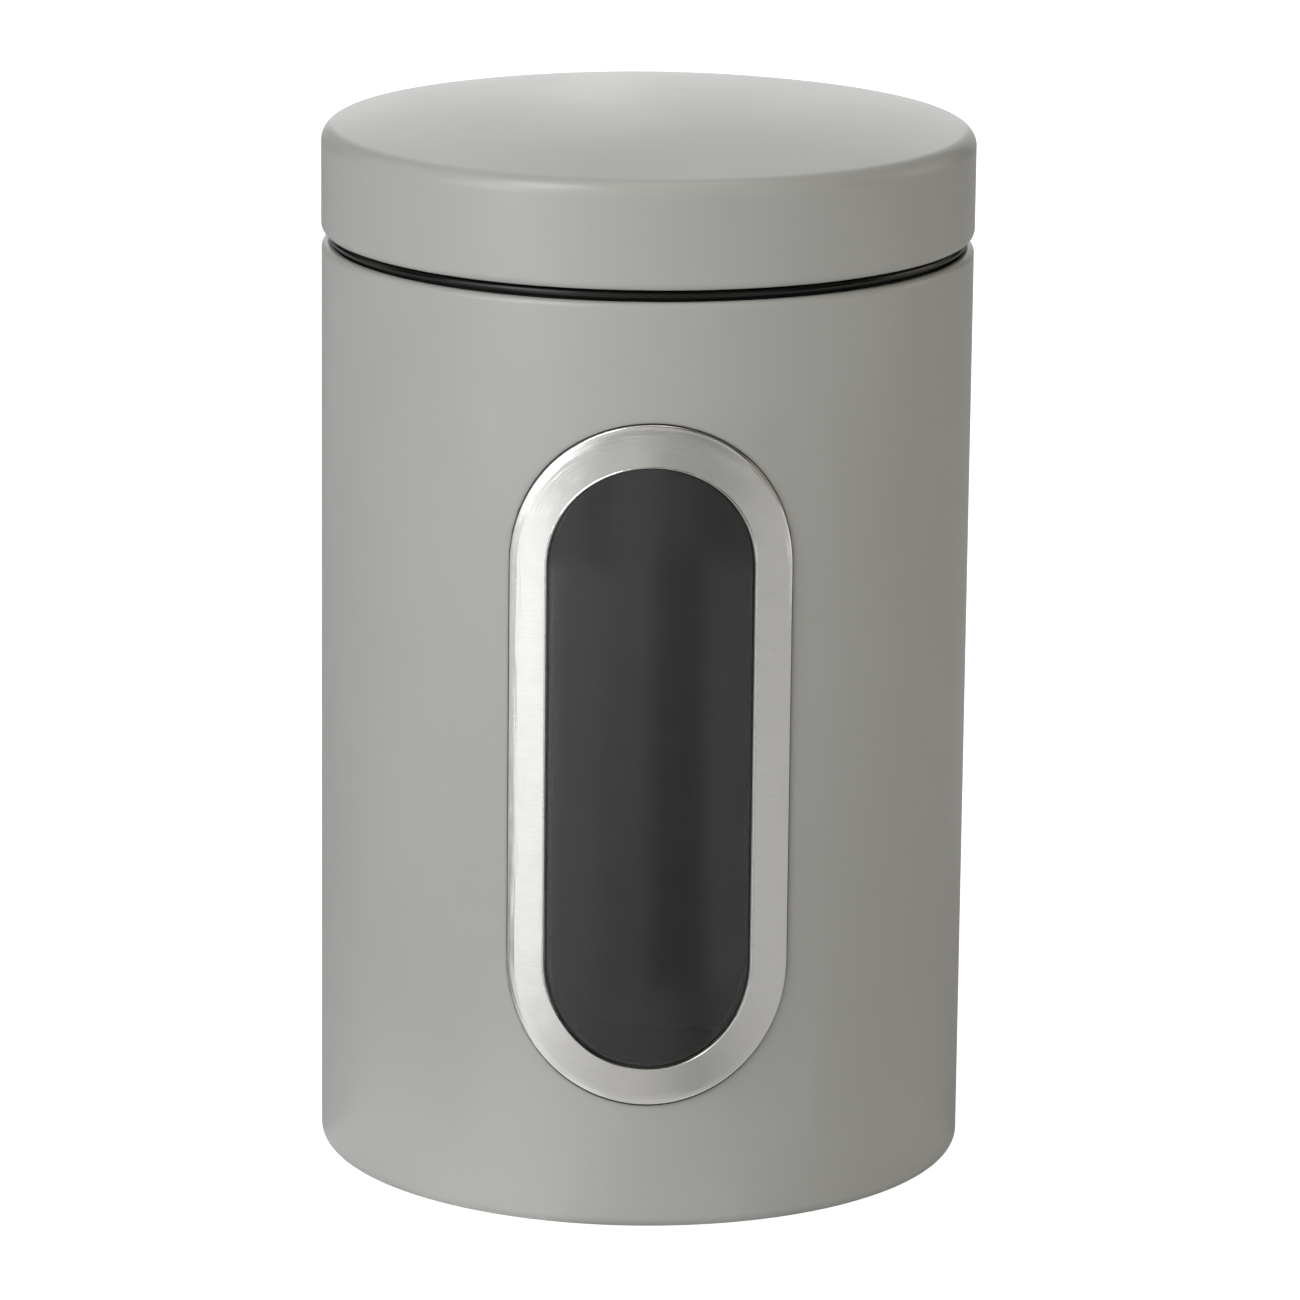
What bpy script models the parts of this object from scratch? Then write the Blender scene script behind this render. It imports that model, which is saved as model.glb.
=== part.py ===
"""Round steel food canister with a window and a lift-off sealed lid.

Metres, +Z up. The canister stands on z = 0 with its axis on Z and its window towards -Y.
"""
import math

import bmesh
import bpy

# Container
body_radius = 0.0613          # outside of the wall
body_height = 0.1749          # base to the top of the rim
body_wall = 0.0006            # sheet steel
base_edge_radius = 0.0021     # rounding from the wall to the underside
base_flange_width = 0.0036    # flat ring that the canister stands on
rim_bend_radius = 0.0012      # outer radius of the fold at the mouth
rim_hem_depth = 0.0050        # how far the folded sheet reaches down inside

# Base pan
pan_wall = 0.0005
pan_bend_radius = 0.0008
pan_skirt = 0.0002            # straight part of the skirt below its bend
pan_border = 0.0140           # skirt to the raised middle panel
pan_panel_slope = 0.0020
pan_panel_rise = 0.0008

# Lid
lid_overhang = 0.0001         # how far the lid stands out beyond the wall
lid_wall = 0.0006
lid_band_height = 0.0022      # black band between the rim and the lid
lid_side_height = 0.0169      # lower edge to where the top rounding starts
lid_edge_radius = 0.0033
lid_crown_radius = 0.3080     # the slightly domed top
lid_bend_radius = 0.0010      # outer radius of the curled lower edge
lid_hem_depth = 0.0010

# Plastic insert in the lid
insert_wall = 0.0015
collar_recess = 0.0012        # how far the black band lies behind the wall
collar_edge = 0.0004
snap_height = 0.0016          # hook that holds the insert in the lid
snap_land = 0.0005
plug_depth = 0.0125           # how far the plug reaches below the rim
plug_foot_height = 0.0014     # lip under the seal
plug_foot_edge = 0.0006
plug_border = 0.0110          # edge of the plug to the recess in its underside
plug_recess_slope = 0.0015
plug_recess_depth = 0.0015

# Silicone seal round the plug
seal_wall = 0.0008
seal_lip_reach = 0.0006
seal_lip_height = 0.0012      # at its root
seal_lip_tip = 0.0004
seal_lip_rise = 0.0003        # how far the tip points up
seal_lip_drop = 0.0024        # top of the seal to the first lip
seal_lip_pitch = 0.0026
seal_lip_count = 2

# Window, measured along the curved wall
opening_foot = 0.0315         # base to the opening
opening_head = 0.0302         # opening to the top of the rim
opening_half_width = 0.0192
bezel_width = 0.0072
bezel_sheet = 0.0006
bezel_roll_radius = 0.0012    # rounded outer edge
bezel_collar_wall = 0.0006
bezel_collar_reach = 0.0001   # how far the collar reaches past the wall
bezel_inner_rounding = 0.0004
gasket_thickness = 0.0008
pane_thickness = 0.0014       # its flange
pane_flange_width = 0.0037
retainer_sheet = 0.0006
retainer_lip_width = 0.0034
retainer_flange_width = 0.0034

fit_gap = 0.0003              # clearance between neighbouring pieces
cut_overrun = 0.0060          # how far a cutter passes through the wall

round_sides = 72
end_steps = 24                # sides of each half-round window end
strip_count = 18              # flats across the window's pieces
merge_distance = 0.000001
smooth_angle = math.radians(35)
full_turn = 2 * math.pi

# Places that several pieces share
body_inner_radius = body_radius - body_wall
floor_height = base_edge_radius + pan_skirt + pan_bend_radius
mouth_radius = body_radius - 2 * rim_bend_radius
lid_radius = body_radius + lid_overhang
lid_inner_radius = lid_radius - lid_wall
lid_bore_radius = lid_radius - 2 * lid_bend_radius
lid_bottom = body_height + lid_band_height
lid_hem_top = lid_bottom + lid_bend_radius + lid_hem_depth
collar_bottom = body_height + fit_gap
plug_bottom = body_height - plug_depth
plug_foot_top = plug_bottom + plug_foot_height
seal_tip_radius = mouth_radius - fit_gap
seal_outer_radius = seal_tip_radius - seal_lip_reach
seal_inner_radius = seal_outer_radius - seal_wall
plug_radius = seal_inner_radius - fit_gap
opening_half_height = (body_height - opening_foot - opening_head) / 2
window_height = opening_foot + opening_half_height      # middle of the window above the base
end_height = opening_half_height - opening_half_width   # centre of the round window ends
cutout_offset = bezel_collar_wall + fit_gap
gasket_outer_radius = body_inner_radius - fit_gap
gasket_inner_radius = gasket_outer_radius - gasket_thickness
gasket_inner_offset = cutout_offset + fit_gap
pane_step_offset = gasket_inner_offset - fit_gap
pane_offset = pane_step_offset + pane_flange_width
pane_flange_radius = gasket_inner_radius - fit_gap
pane_back_radius = pane_flange_radius - pane_thickness
collar_end_radius = body_inner_radius - bezel_collar_reach
pane_face_radius = collar_end_radius - fit_gap


def clear_scene():
    """Remove whatever the scene holds."""
    for item in list(bpy.data.objects):
        bpy.data.objects.remove(item, do_unlink=True)


def make_material(name, colour, roughness, metallic=0.0, alpha=1.0):
    """A plain surface of one colour."""
    material = bpy.data.materials.new(name)
    material.use_nodes = True
    shader = material.node_tree.nodes["Principled BSDF"]
    shader.inputs["Base Color"].default_value = (*colour, 1.0)
    shader.inputs["Roughness"].default_value = roughness
    shader.inputs["Metallic"].default_value = metallic
    shader.inputs["Alpha"].default_value = alpha
    material.diffuse_color = (*colour, alpha)
    return material


def place(name, bm, material):
    """Close the mesh, turn its faces outward and put it in the scene."""
    bmesh.ops.remove_doubles(bm, verts=bm.verts, dist=merge_distance)
    bmesh.ops.recalc_face_normals(bm, faces=bm.faces)
    mesh = bpy.data.meshes.new(name)
    bm.to_mesh(mesh)
    bm.free()
    mesh.shade_smooth()
    mesh.set_sharp_from_angle(angle=smooth_angle)
    item = bpy.data.objects.new(name, mesh)
    if material:
        mesh.materials.append(material)
    bpy.context.scene.collection.objects.link(item)
    return item


def arc(centre_r, centre_z, radius, start, end, steps):
    """Points of a round stretch of an outline, its angles in degrees from +R."""
    angles = [math.radians(start + (end - start) * i / steps) for i in range(steps + 1)]
    return [(centre_r + radius * math.cos(a), centre_z + radius * math.sin(a)) for a in angles]


def turned(name, outline, material, closed=True):
    """Turn an outline of (radius, height) points about Z. An open one runs from axis to axis."""
    bm = bmesh.new()
    points = [bm.verts.new((r, 0, z)) for r, z in outline]
    edges = [bm.edges.new(pair) for pair in zip(points, points[1:])]
    if closed:
        edges.append(bm.edges.new((points[-1], points[0])))
    bmesh.ops.spin(
        bm, geom=points + edges, cent=(0, 0, 0), axis=(0, 0, 1), angle=full_turn,
        steps=round_sides, use_merge=True,
    )
    return place(name, bm, material)


def stadium_loop(bm, offset, radius):
    """One window outline, offset outward from the opening, drawn flat at a radius from the axis."""
    half_width = opening_half_width + offset
    verts = []
    for centre, start in ((end_height, 0), (-end_height, math.pi)):
        for i in range(end_steps + 1):
            angle = start + math.pi * i / end_steps
            across = half_width * math.cos(angle)
            verts.append(bm.verts.new((across, -radius, centre + half_width * math.sin(angle))))
    return verts


def join_loops(bm, near, far):
    """A band of faces between two window outlines."""
    for i, corner in enumerate(near):
        bm.faces.new((near[i - 1], corner, far[i], far[i - 1]))


def roll_round_body(bm):
    """Bend a flat blank round the canister's axis and lift it to the window's height."""
    for vert in bm.verts:
        angle = vert.co.x / body_radius
        radius = -vert.co.y
        vert.co.x = radius * math.sin(angle)
        vert.co.y = -radius * math.cos(angle)
        vert.co.z += window_height


def window_ring(name, section, material):
    """A ring round the window with a section of (offset, radius) points."""
    bm = bmesh.new()
    loops = [stadium_loop(bm, offset, radius) for offset, radius in section]
    for near, far in zip(loops, loops[1:] + loops[:1]):
        join_loops(bm, near, far)
    roll_round_body(bm)
    return place(name, bm, material)


def window_plate(name, section, material):
    """A plate as large as the window, its edge running through (offset, radius) points."""
    bm = bmesh.new()
    loops = [stadium_loop(bm, offset, radius) for offset, radius in section]
    for near, far in zip(loops, loops[1:]):
        join_loops(bm, near, far)
    bm.faces.new(loops[0])
    bm.faces.new(loops[-1])
    half_width = opening_half_width + max(offset for offset, radius in section)
    for i in range(1, strip_count):
        across = half_width * (2 * i / strip_count - 1)
        bmesh.ops.bisect_plane(
            bm, geom=bm.verts[:] + bm.edges[:] + bm.faces[:], dist=merge_distance,
            plane_co=(across, 0, 0), plane_no=(1, 0, 0),
        )
    roll_round_body(bm)
    return place(name, bm, material)


def make_body_shell(material):
    """The wall, folded over at the mouth and turned in at the base, with the window cut out."""
    rim_centre = body_radius - rim_bend_radius
    bend_height = body_height - rim_bend_radius
    hem_bottom = bend_height - rim_hem_depth
    base_centre = body_radius - base_edge_radius
    flange_inner = base_centre - base_flange_width
    outline = arc(base_centre, base_edge_radius, base_edge_radius, 0, -90, 3)
    outline += [(flange_inner, 0), (flange_inner, body_wall)]
    outline += arc(base_centre, base_edge_radius, base_edge_radius - body_wall, -90, 0, 3)
    outline += arc(rim_centre, bend_height, rim_bend_radius - body_wall, 0, 180, 3)
    outline += [(mouth_radius + body_wall, hem_bottom), (mouth_radius, hem_bottom)]
    outline += arc(rim_centre, bend_height, rim_bend_radius, 180, 0, 6)
    shell = turned("body_shell", outline, material)
    cutout = [(cutout_offset, body_radius - cut_overrun), (cutout_offset, body_radius + cut_overrun)]
    cutter = window_plate("window_cutter", cutout, None)
    cutter.hide_render = True
    cutter.display_type = "WIRE"
    cut = shell.modifiers.new("window", "BOOLEAN")
    cut.operation = "DIFFERENCE"
    cut.object = cutter


def make_base_pan(material):
    """The pressed bottom, a shallow tray with its skirt down, in the fold of the wall."""
    outer = body_inner_radius - fit_gap
    centre = outer - pan_bend_radius
    bend_height = floor_height - pan_bend_radius
    panel_top = floor_height + pan_panel_rise
    panel_edge = outer - pan_border
    panel_radius = panel_edge - pan_panel_slope
    outline = [(0, panel_top), (panel_radius, panel_top), (panel_edge, floor_height)]
    outline += arc(centre, bend_height, pan_bend_radius, 90, 0, 3)
    outline += [(outer, base_edge_radius), (outer - pan_wall, base_edge_radius)]
    outline += arc(centre, bend_height, pan_bend_radius - pan_wall, 0, 90, 2)
    outline += [(panel_edge, floor_height - pan_wall), (panel_radius, panel_top - pan_wall)]
    outline.append((0, panel_top - pan_wall))
    turned("base_pan", outline, material, closed=False)


def make_lid_shell(material):
    """The drawn steel cap with its domed top and curled lower edge."""
    edge_centre = lid_radius - lid_edge_radius
    edge_height = lid_bottom + lid_side_height
    crown_reach = lid_crown_radius - lid_edge_radius
    crown_centre = edge_height - math.sqrt(crown_reach ** 2 - edge_centre ** 2)
    crown_start = 90 - math.degrees(math.asin(edge_centre / crown_reach))
    curl_centre = lid_radius - lid_bend_radius
    curl_height = lid_bottom + lid_bend_radius
    curl_inner = lid_bend_radius - lid_wall
    outline = arc(0, crown_centre, lid_crown_radius, 90, crown_start, 5)
    outline += arc(edge_centre, edge_height, lid_edge_radius, crown_start, 0, 4)[1:]
    outline += arc(curl_centre, curl_height, lid_bend_radius, 0, -180, 4)
    outline += [(lid_bore_radius, lid_hem_top), (lid_bore_radius + lid_wall, lid_hem_top)]
    outline += arc(curl_centre, curl_height, curl_inner, -180, 0, 2)
    outline += arc(edge_centre, edge_height, lid_edge_radius - lid_wall, 0, crown_start, 3)
    outline += arc(0, crown_centre, lid_crown_radius - lid_wall, crown_start, 90, 3)[1:]
    outline[0] = (0, outline[0][1])
    outline[-1] = (0, outline[-1][1])
    turned("lid_shell", outline, material, closed=False)


def make_lid_insert(material):
    """The plug, its collar on the rim and its hook above the lid's curled edge."""
    collar_radius = body_radius - collar_recess
    collar_top = lid_bottom - fit_gap
    neck_radius = lid_bore_radius - fit_gap
    hook_radius = lid_inner_radius - fit_gap
    hook_bottom = lid_hem_top + fit_gap
    hook_top = hook_bottom + snap_height
    foot_radius = seal_tip_radius - fit_gap
    recess_edge = foot_radius - plug_border
    recess_floor = plug_bottom + plug_recess_depth
    plug_floor = recess_floor + insert_wall
    outline = [
        (0, plug_floor),
        (plug_radius - insert_wall, plug_floor),
        (plug_radius - insert_wall, collar_top),
        (neck_radius - insert_wall, collar_top),
        (neck_radius - insert_wall, hook_top),
        (neck_radius, hook_top),
        (hook_radius, hook_bottom + snap_land),
        (hook_radius, hook_bottom),
        (neck_radius, hook_bottom),
        (neck_radius, collar_top),
        (collar_radius - collar_edge, collar_top),
        (collar_radius, collar_top - collar_edge),
        (collar_radius, collar_bottom + collar_edge),
        (collar_radius - collar_edge, collar_bottom),
        (plug_radius, collar_bottom),
        (plug_radius, plug_foot_top),
        (foot_radius, plug_foot_top),
        (foot_radius, plug_bottom + plug_foot_edge),
        (foot_radius - plug_foot_edge, plug_bottom),
        (recess_edge, plug_bottom),
        (recess_edge - plug_recess_slope, recess_floor),
        (0, recess_floor),
    ]
    turned("lid_insert", outline, material, closed=False)


def make_lid_seal(material):
    """The ring round the plug with its lips in the mouth."""
    top = collar_bottom - fit_gap
    bottom = plug_foot_top + fit_gap
    outline = [(seal_inner_radius, bottom), (seal_inner_radius, top), (seal_outer_radius, top)]
    for i in range(seal_lip_count):
        middle = top - seal_lip_drop - i * seal_lip_pitch
        tip = middle + seal_lip_rise
        outline.append((seal_outer_radius, middle + seal_lip_height / 2))
        outline.append((seal_tip_radius, tip + seal_lip_tip / 2))
        outline.append((seal_tip_radius, tip - seal_lip_tip / 2))
        outline.append((seal_outer_radius, middle - seal_lip_height / 2))
    outline.append((seal_outer_radius, bottom))
    turned("lid_seal", outline, material)


def make_window_bezel(material):
    """The stainless frame: a flange on the wall and a collar through the cut-out."""
    under = body_radius + fit_gap
    face = under + bezel_sheet
    half_width = bezel_width / 2
    roll_start = math.asin((bezel_roll_radius - bezel_sheet) / bezel_roll_radius)
    roll_centre = bezel_width - bezel_roll_radius * math.cos(roll_start)
    section = [
        (0, collar_end_radius),
        (bezel_collar_wall, collar_end_radius),
        (bezel_collar_wall, under),
        (half_width, under),
    ]
    section += arc(roll_centre, face - bezel_roll_radius, bezel_roll_radius, math.degrees(roll_start), 90, 3)
    section.append((half_width, face))
    section += arc(bezel_inner_rounding, face - bezel_inner_rounding, bezel_inner_rounding, 90, 180, 2)
    window_ring("window_bezel", section, material)


def make_window_gasket(material):
    """The flat rubber ring between the wall and the pane."""
    section = [
        (gasket_inner_offset, gasket_inner_radius),
        (pane_offset, gasket_inner_radius),
        (pane_offset, gasket_outer_radius),
        (gasket_inner_offset, gasket_outer_radius),
    ]
    window_ring("window_gasket", section, material)


def make_window_pane(material):
    """The clear pane, its middle raised into the gasket."""
    section = [
        (pane_offset, pane_back_radius),
        (pane_offset, pane_flange_radius),
        (pane_step_offset, pane_flange_radius),
        (pane_step_offset, pane_face_radius),
    ]
    window_plate("window_pane", section, material)


def make_window_retainer(material):
    """The ring inside the wall that presses the pane on the gasket."""
    step_inner = pane_offset + fit_gap
    step_outer = step_inner + retainer_sheet
    lip_front = pane_back_radius - fit_gap
    lip_back = lip_front - retainer_sheet
    flange_front = gasket_outer_radius
    flange_back = flange_front - retainer_sheet
    section = [
        (step_inner - retainer_lip_width, lip_back),
        (step_outer, lip_back),
        (step_outer, flange_back),
        (step_outer + retainer_flange_width, flange_back),
        (step_outer + retainer_flange_width, flange_front),
        (step_inner, flange_front),
        (step_inner, lip_front),
        (step_inner - retainer_lip_width, lip_front),
    ]
    window_ring("window_retainer", section, material)


clear_scene()
powder_coat = make_material("grey_powder_coat", (0.38, 0.38, 0.36), 0.45)
steel_sheet = make_material("lacquered_steel", (0.22, 0.22, 0.21), 0.35, metallic=0.8)
brushed_steel = make_material("brushed_stainless", (0.62, 0.61, 0.58), 0.28, metallic=1.0)
black_plastic = make_material("black_plastic", (0.015, 0.015, 0.015), 0.25)
black_silicone = make_material("black_silicone", (0.02, 0.02, 0.02), 0.6)
clear_acrylic = make_material("clear_acrylic", (0.8, 0.8, 0.78), 0.03, alpha=0.25)

make_body_shell(powder_coat)
make_base_pan(steel_sheet)
make_lid_shell(powder_coat)
make_lid_insert(black_plastic)
make_lid_seal(black_silicone)
make_window_bezel(brushed_steel)
make_window_gasket(black_silicone)
make_window_pane(clear_acrylic)
make_window_retainer(steel_sheet)
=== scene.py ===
# Grey steel food canister with a window in its side: the looks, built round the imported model.
import math

import bmesh
import bpy
from mathutils import Matrix


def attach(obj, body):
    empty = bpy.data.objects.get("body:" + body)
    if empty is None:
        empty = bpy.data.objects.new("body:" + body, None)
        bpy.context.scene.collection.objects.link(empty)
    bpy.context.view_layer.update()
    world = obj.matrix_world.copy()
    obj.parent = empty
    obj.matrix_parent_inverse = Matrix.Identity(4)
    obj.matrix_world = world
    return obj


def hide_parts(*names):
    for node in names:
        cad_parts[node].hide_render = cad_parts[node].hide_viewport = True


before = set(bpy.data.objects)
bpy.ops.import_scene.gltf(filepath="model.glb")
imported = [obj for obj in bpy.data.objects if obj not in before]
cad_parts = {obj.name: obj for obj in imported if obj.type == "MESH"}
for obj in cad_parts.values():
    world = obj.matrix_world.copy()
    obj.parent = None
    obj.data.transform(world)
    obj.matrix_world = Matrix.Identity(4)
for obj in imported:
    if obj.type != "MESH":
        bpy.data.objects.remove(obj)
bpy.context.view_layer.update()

mm = 0.001
turn = 2 * math.pi
roundSides = 240      # columns round every turned piece
endSteps = 48         # columns round each half-round end of the window
cornerSteps = 5       # faces across each softened corner
sharpAngle = 40       # degrees; a sharper bend between two faces stays a crisp edge
axisReach = 0.001     # millimetres; a ring nearer to the axis is one point

# The wall and its window, in millimetres. Every window piece is measured along the wall.
wall = {
    "radius": 61.3, "sheet": 0.6, "height": 174.9,
    "footRounding": 2.1, "footFlange": 3.6, "footSteps": 12, "flangeSoftening": 0.15,
    "rimBend": 1.2, "hemDepth": 5.0, "rimSteps": 16, "hemSoftening": 0.2,
    "insideSteps": 8,                                   # steps on the inside of foot and rim
    "windowHeight": 88.1, "openingHalfWidth": 19.2, "endHeight": 37.4,
    "bedDepth": 0.4, "grooveEnd": 7.6,                  # bed under the frame, groove round it
    "lipDrop": 0.22, "lipStart": 7.66, "lipReach": 0.25,
    "topRise": 0.75, "bedRise": 0.43, "riseEnd": 7.2,   # the frame's upper arc is a little taller
    "bottomDrop": 0.4,                                  # and its opening reaches a little lower
}


# Outlines are lists of (radius, height); a third number in a corner softens it by that radius.
def arc(r, z, radius, start, end, steps):
    angles = [math.radians(start + (end - start) * i / steps) for i in range(steps + 1)]
    return [(r + radius * math.cos(a), z + radius * math.sin(a)) for a in angles]


def softened(corners, closed=True):
    points = []
    count = len(corners)
    for i, (x, y, *rounding) in enumerate(corners):
        if not rounding or (not closed and i in (0, count - 1)):
            points.append((x, y))
            continue
        radius = rounding[0]
        before, after = corners[i - 1], corners[(i + 1) % count]
        ax, ay = before[0] - x, before[1] - y
        bx, by = after[0] - x, after[1] - y
        aLength, bLength = math.hypot(ax, ay), math.hypot(bx, by)
        ax, ay, bx, by = ax / aLength, ay / aLength, bx / bLength, by / bLength
        half = math.acos(max(-1, min(1, ax * bx + ay * by))) / 2
        reach = radius / math.tan(half)
        startX, startY = x + ax * reach, y + ay * reach
        endX, endY = x + bx * reach, y + by * reach
        middle = math.hypot(ax + bx, ay + by)
        centreX = x + (ax + bx) / middle * radius / math.sin(half)
        centreY = y + (ay + by) / middle * radius / math.sin(half)
        first = math.atan2(startY - centreY, startX - centreX)
        bend = math.atan2(endY - centreY, endX - centreX) - first
        bend = (bend + math.pi) % turn - math.pi
        for step in range(cornerSteps + 1):
            angle = first + bend * step / cornerSteps
            points.append((centreX + radius * math.cos(angle), centreY + radius * math.sin(angle)))
    return points


# Place on the canister: angle from the window's middle, distance from the axis, height.
def spot(angle, radius, height):
    return (radius * math.sin(angle) * mm, -radius * math.cos(angle) * mm, height * mm)


def onWall(across, up, radius):
    return spot(across / wall["radius"], radius, wall["windowHeight"] + up)


# Place on an outline round the window; along is the direction outward, as (across, up).
def onOutline(middle, along, offset, radius, topRise):
    half = wall["openingHalfWidth"] + offset
    outer = max(0, min(1, offset / wall["riseEnd"]))
    rise = topRise * outer if along[1] > 0 else wall["bottomDrop"] * (1 - outer)
    return onWall(half * along[0], middle + (half + rise) * along[1], radius)


class Shape:
    def __init__(self):
        self.corners = []
        self.faces = []
        self.finishes = []

    def ring(self, places):
        first = len(self.corners)
        self.corners += places
        return list(range(first, len(self.corners)))

    def face(self, corners, finish=0):
        self.faces.append(corners)
        self.finishes.append(finish)

    def join(self, near, far, finish=0):
        for i in range(max(len(near), len(far))):
            if len(near) == 1:
                self.face((near[0], far[i], far[i - 1]), finish)
            elif len(far) == 1:
                self.face((near[i - 1], near[i], far[0]), finish)
            else:
                self.face((near[i - 1], near[i], far[i], far[i - 1]), finish)

    def build(self, name, *materials):
        mesh = bpy.data.meshes.new(name)
        mesh.from_pydata(self.corners, [], self.faces)
        mesh.polygons.foreach_set("material_index", self.finishes)
        bm = bmesh.new()
        bm.from_mesh(mesh)
        bmesh.ops.recalc_face_normals(bm, faces=bm.faces)
        bm.to_mesh(mesh)
        bm.free()
        mesh.shade_smooth()
        mesh.set_sharp_from_angle(angle=math.radians(sharpAngle))
        for material in materials:
            mesh.materials.append(material)
        piece = bpy.data.objects.new(name, mesh)
        bpy.context.scene.collection.objects.link(piece)
        weighted = piece.modifiers.new("even shading", "WEIGHTED_NORMAL")
        weighted.keep_sharp = True
        return piece


def turned(outline, closed=True):
    shape = Shape()
    rings = []
    for r, z in outline:
        count = roundSides if r > axisReach else 1
        rings.append(shape.ring([spot(turn * i / count, r, z) for i in range(count)]))
    for near, far in zip(rings, rings[1:]):
        shape.join(near, far)
    if closed:
        shape.join(rings[-1], rings[0])
    return shape


def windowLoop(shape, offset, radius):
    places = []
    for middle, start in ((wall["endHeight"], 0), (-wall["endHeight"], math.pi)):
        for i in range(endSteps + 1):
            angle = start + math.pi * i / endSteps
            along = (math.cos(angle), math.sin(angle))
            places.append(onOutline(middle, along, offset, radius, wall["topRise"]))
    return shape.ring(places)


def windowRing(section):
    shape = Shape()
    loops = [windowLoop(shape, offset, radius) for offset, radius in section]
    for near, far in zip(loops, loops[1:] + loops[:1]):
        shape.join(near, far)
    return shape


# A plate as large as the window. Its faces are strips from the top end to the bottom end.
def windowPlate(section):
    shape = Shape()
    loops = [windowLoop(shape, offset, radius) for offset, radius in section]
    for near, far in zip(loops, loops[1:]):
        shape.join(near, far)
    last = 2 * endSteps + 1
    for loop in (loops[0], loops[-1]):
        for i in range(endSteps):
            shape.face((loop[i], loop[i + 1], loop[last - i - 1], loop[last - i]))
    return shape


# Shader maths. A Link is an output socket, and sums on it add Math nodes.
class Link:
    def __init__(self, finish, socket):
        self.finish = finish
        self.socket = socket

    def __add__(self, other):
        return self.finish.sumOf("ADD", self, other)

    def __mul__(self, other):
        return self.finish.sumOf("MULTIPLY", self, other)

    def __sub__(self, other):
        return self.finish.sumOf("SUBTRACT", self, other)

    def __rsub__(self, other):
        return self.finish.sumOf("SUBTRACT", other, self)

    __radd__ = __add__
    __rmul__ = __mul__


class Finish:
    def __init__(self, name, sockets):
        self.material = bpy.data.materials.new(name)
        self.material.use_nodes = True
        self.tree = self.material.node_tree
        self.shader = self.tree.nodes["Principled BSDF"]
        self.fill(self.shader, sockets)

    def fill(self, node, sockets):
        for name, value in sockets.items():
            if isinstance(value, Link):
                self.tree.links.new(value.socket, node.inputs[name])
            else:
                node.inputs[name].default_value = value

    # Any node: its type, its settings, then the values or links of its sockets.
    def add(self, kind, settings, sockets, output=0):
        node = self.tree.nodes.new("ShaderNode" + kind)
        for name, value in settings.items():
            if name == "stops":
                stops = node.color_ramp.elements
                stops.remove(stops[1])
                for i, (place, level) in enumerate(value):
                    stop = stops[0] if i == 0 else stops.new(place)
                    stop.position = place
                    stop.color = (level, level, level, 1)
            else:
                setattr(node, name, value)
        self.fill(node, sockets)
        return Link(self, node.outputs[output])

    def place(self, scale=(1, 1, 1)):
        here = self.add("TexCoord", {}, {}, "Object")
        return self.add("VectorMath", {"operation": "MULTIPLY"}, {0: here, 1: scale})

    # Cloudy pattern. Its grains have that length in millimetres, or one for each of x, y and z.
    def grain(self, size, detail=2.0, roughness=0.5):
        sizes = size if isinstance(size, tuple) else (size, size, size)
        where = self.place([1 / (s * mm) for s in sizes])
        return self.add("TexNoise", {}, {
            "Vector": where, "Scale": 1.0, "Detail": detail, "Roughness": roughness})

    def parts(self, vector):
        first = self.add("SeparateXYZ", {}, {0: vector})
        return [Link(self, socket) for socket in first.socket.node.outputs]

    def sumOf(self, operation, first, second=0.0):
        return self.add("Math", {"operation": operation}, {0: first, 1: second})

    def band(self, value, low, high, start=0.0, end=1.0):
        return self.add("MapRange", {"interpolation_type": "SMOOTHSTEP"}, {
            "Value": value, "From Min": low, "From Max": high, "To Min": start, "To Max": end})

    def blend(self, amount, first, second):
        colours = {0: amount, 6: (*first, 1), 7: (*second, 1)}
        return self.add("Mix", {"data_type": "RGBA"}, colours, 2)

    # Height in millimetres, times depth.
    def bump(self, height, depth=1.0):
        return self.add("Bump", {}, {"Height": height, "Strength": 1.0, "Distance": depth * mm})

    def show(self, **links):
        sockets = {name.replace("_", " "): value for name, value in links.items()}
        self.fill(self.shader, sockets)
        return self.material


# In the finishes below, sizes and depths are millimetres, and a Range is where a cloudy pattern
# goes from nothing to full. Two values of a tone or a roughness are those at its two ends.

# Powder coat: satin grey with a very fine orange peel and a slight drift in tone.
powderCoat = {
    "ior": 1.5, "tones": ((0.400, 0.395, 0.375), (0.386, 0.380, 0.359)), "roughness": (0.29, 0.32),
    "driftSize": (38, 38, 60), "toneRange": (0.35, 0.65), "glossRange": (0.3, 0.7),
    "peelSize": 0.9, "peelDepth": 0.010, "grainSize": 0.16, "grainDepth": 0.004,
}


def makePowderCoat():
    coat = powderCoat
    finish = Finish("powder coat", {"IOR": coat["ior"], "Metallic": 0.0})
    peel = finish.grain(coat["peelSize"], detail=2)
    grain = finish.grain(coat["grainSize"], detail=1)
    drift = finish.grain(coat["driftSize"], detail=3)
    height = coat["peelDepth"] * peel + coat["grainDepth"] * grain
    return finish.show(
        Base_Color=finish.blend(finish.band(drift, *coat["toneRange"]), *coat["tones"]),
        Roughness=finish.band(drift, *coat["glossRange"], *coat["roughness"]),
        Normal=finish.bump(height))


# Dark lacquer on the steel inside the canister and on its pressed base; round the window it also
# darkens the groove by the frame, as painted shade.
lacquer = {
    "ior": 1.5, "tones": ((0.030, 0.030, 0.029), (0.046, 0.045, 0.043)), "roughness": (0.36, 0.46),
    "cloudSize": 26, "cloudRange": (0.38, 0.66),
    "peelSize": 1.3, "peelDepth": 0.012,
}


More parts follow.
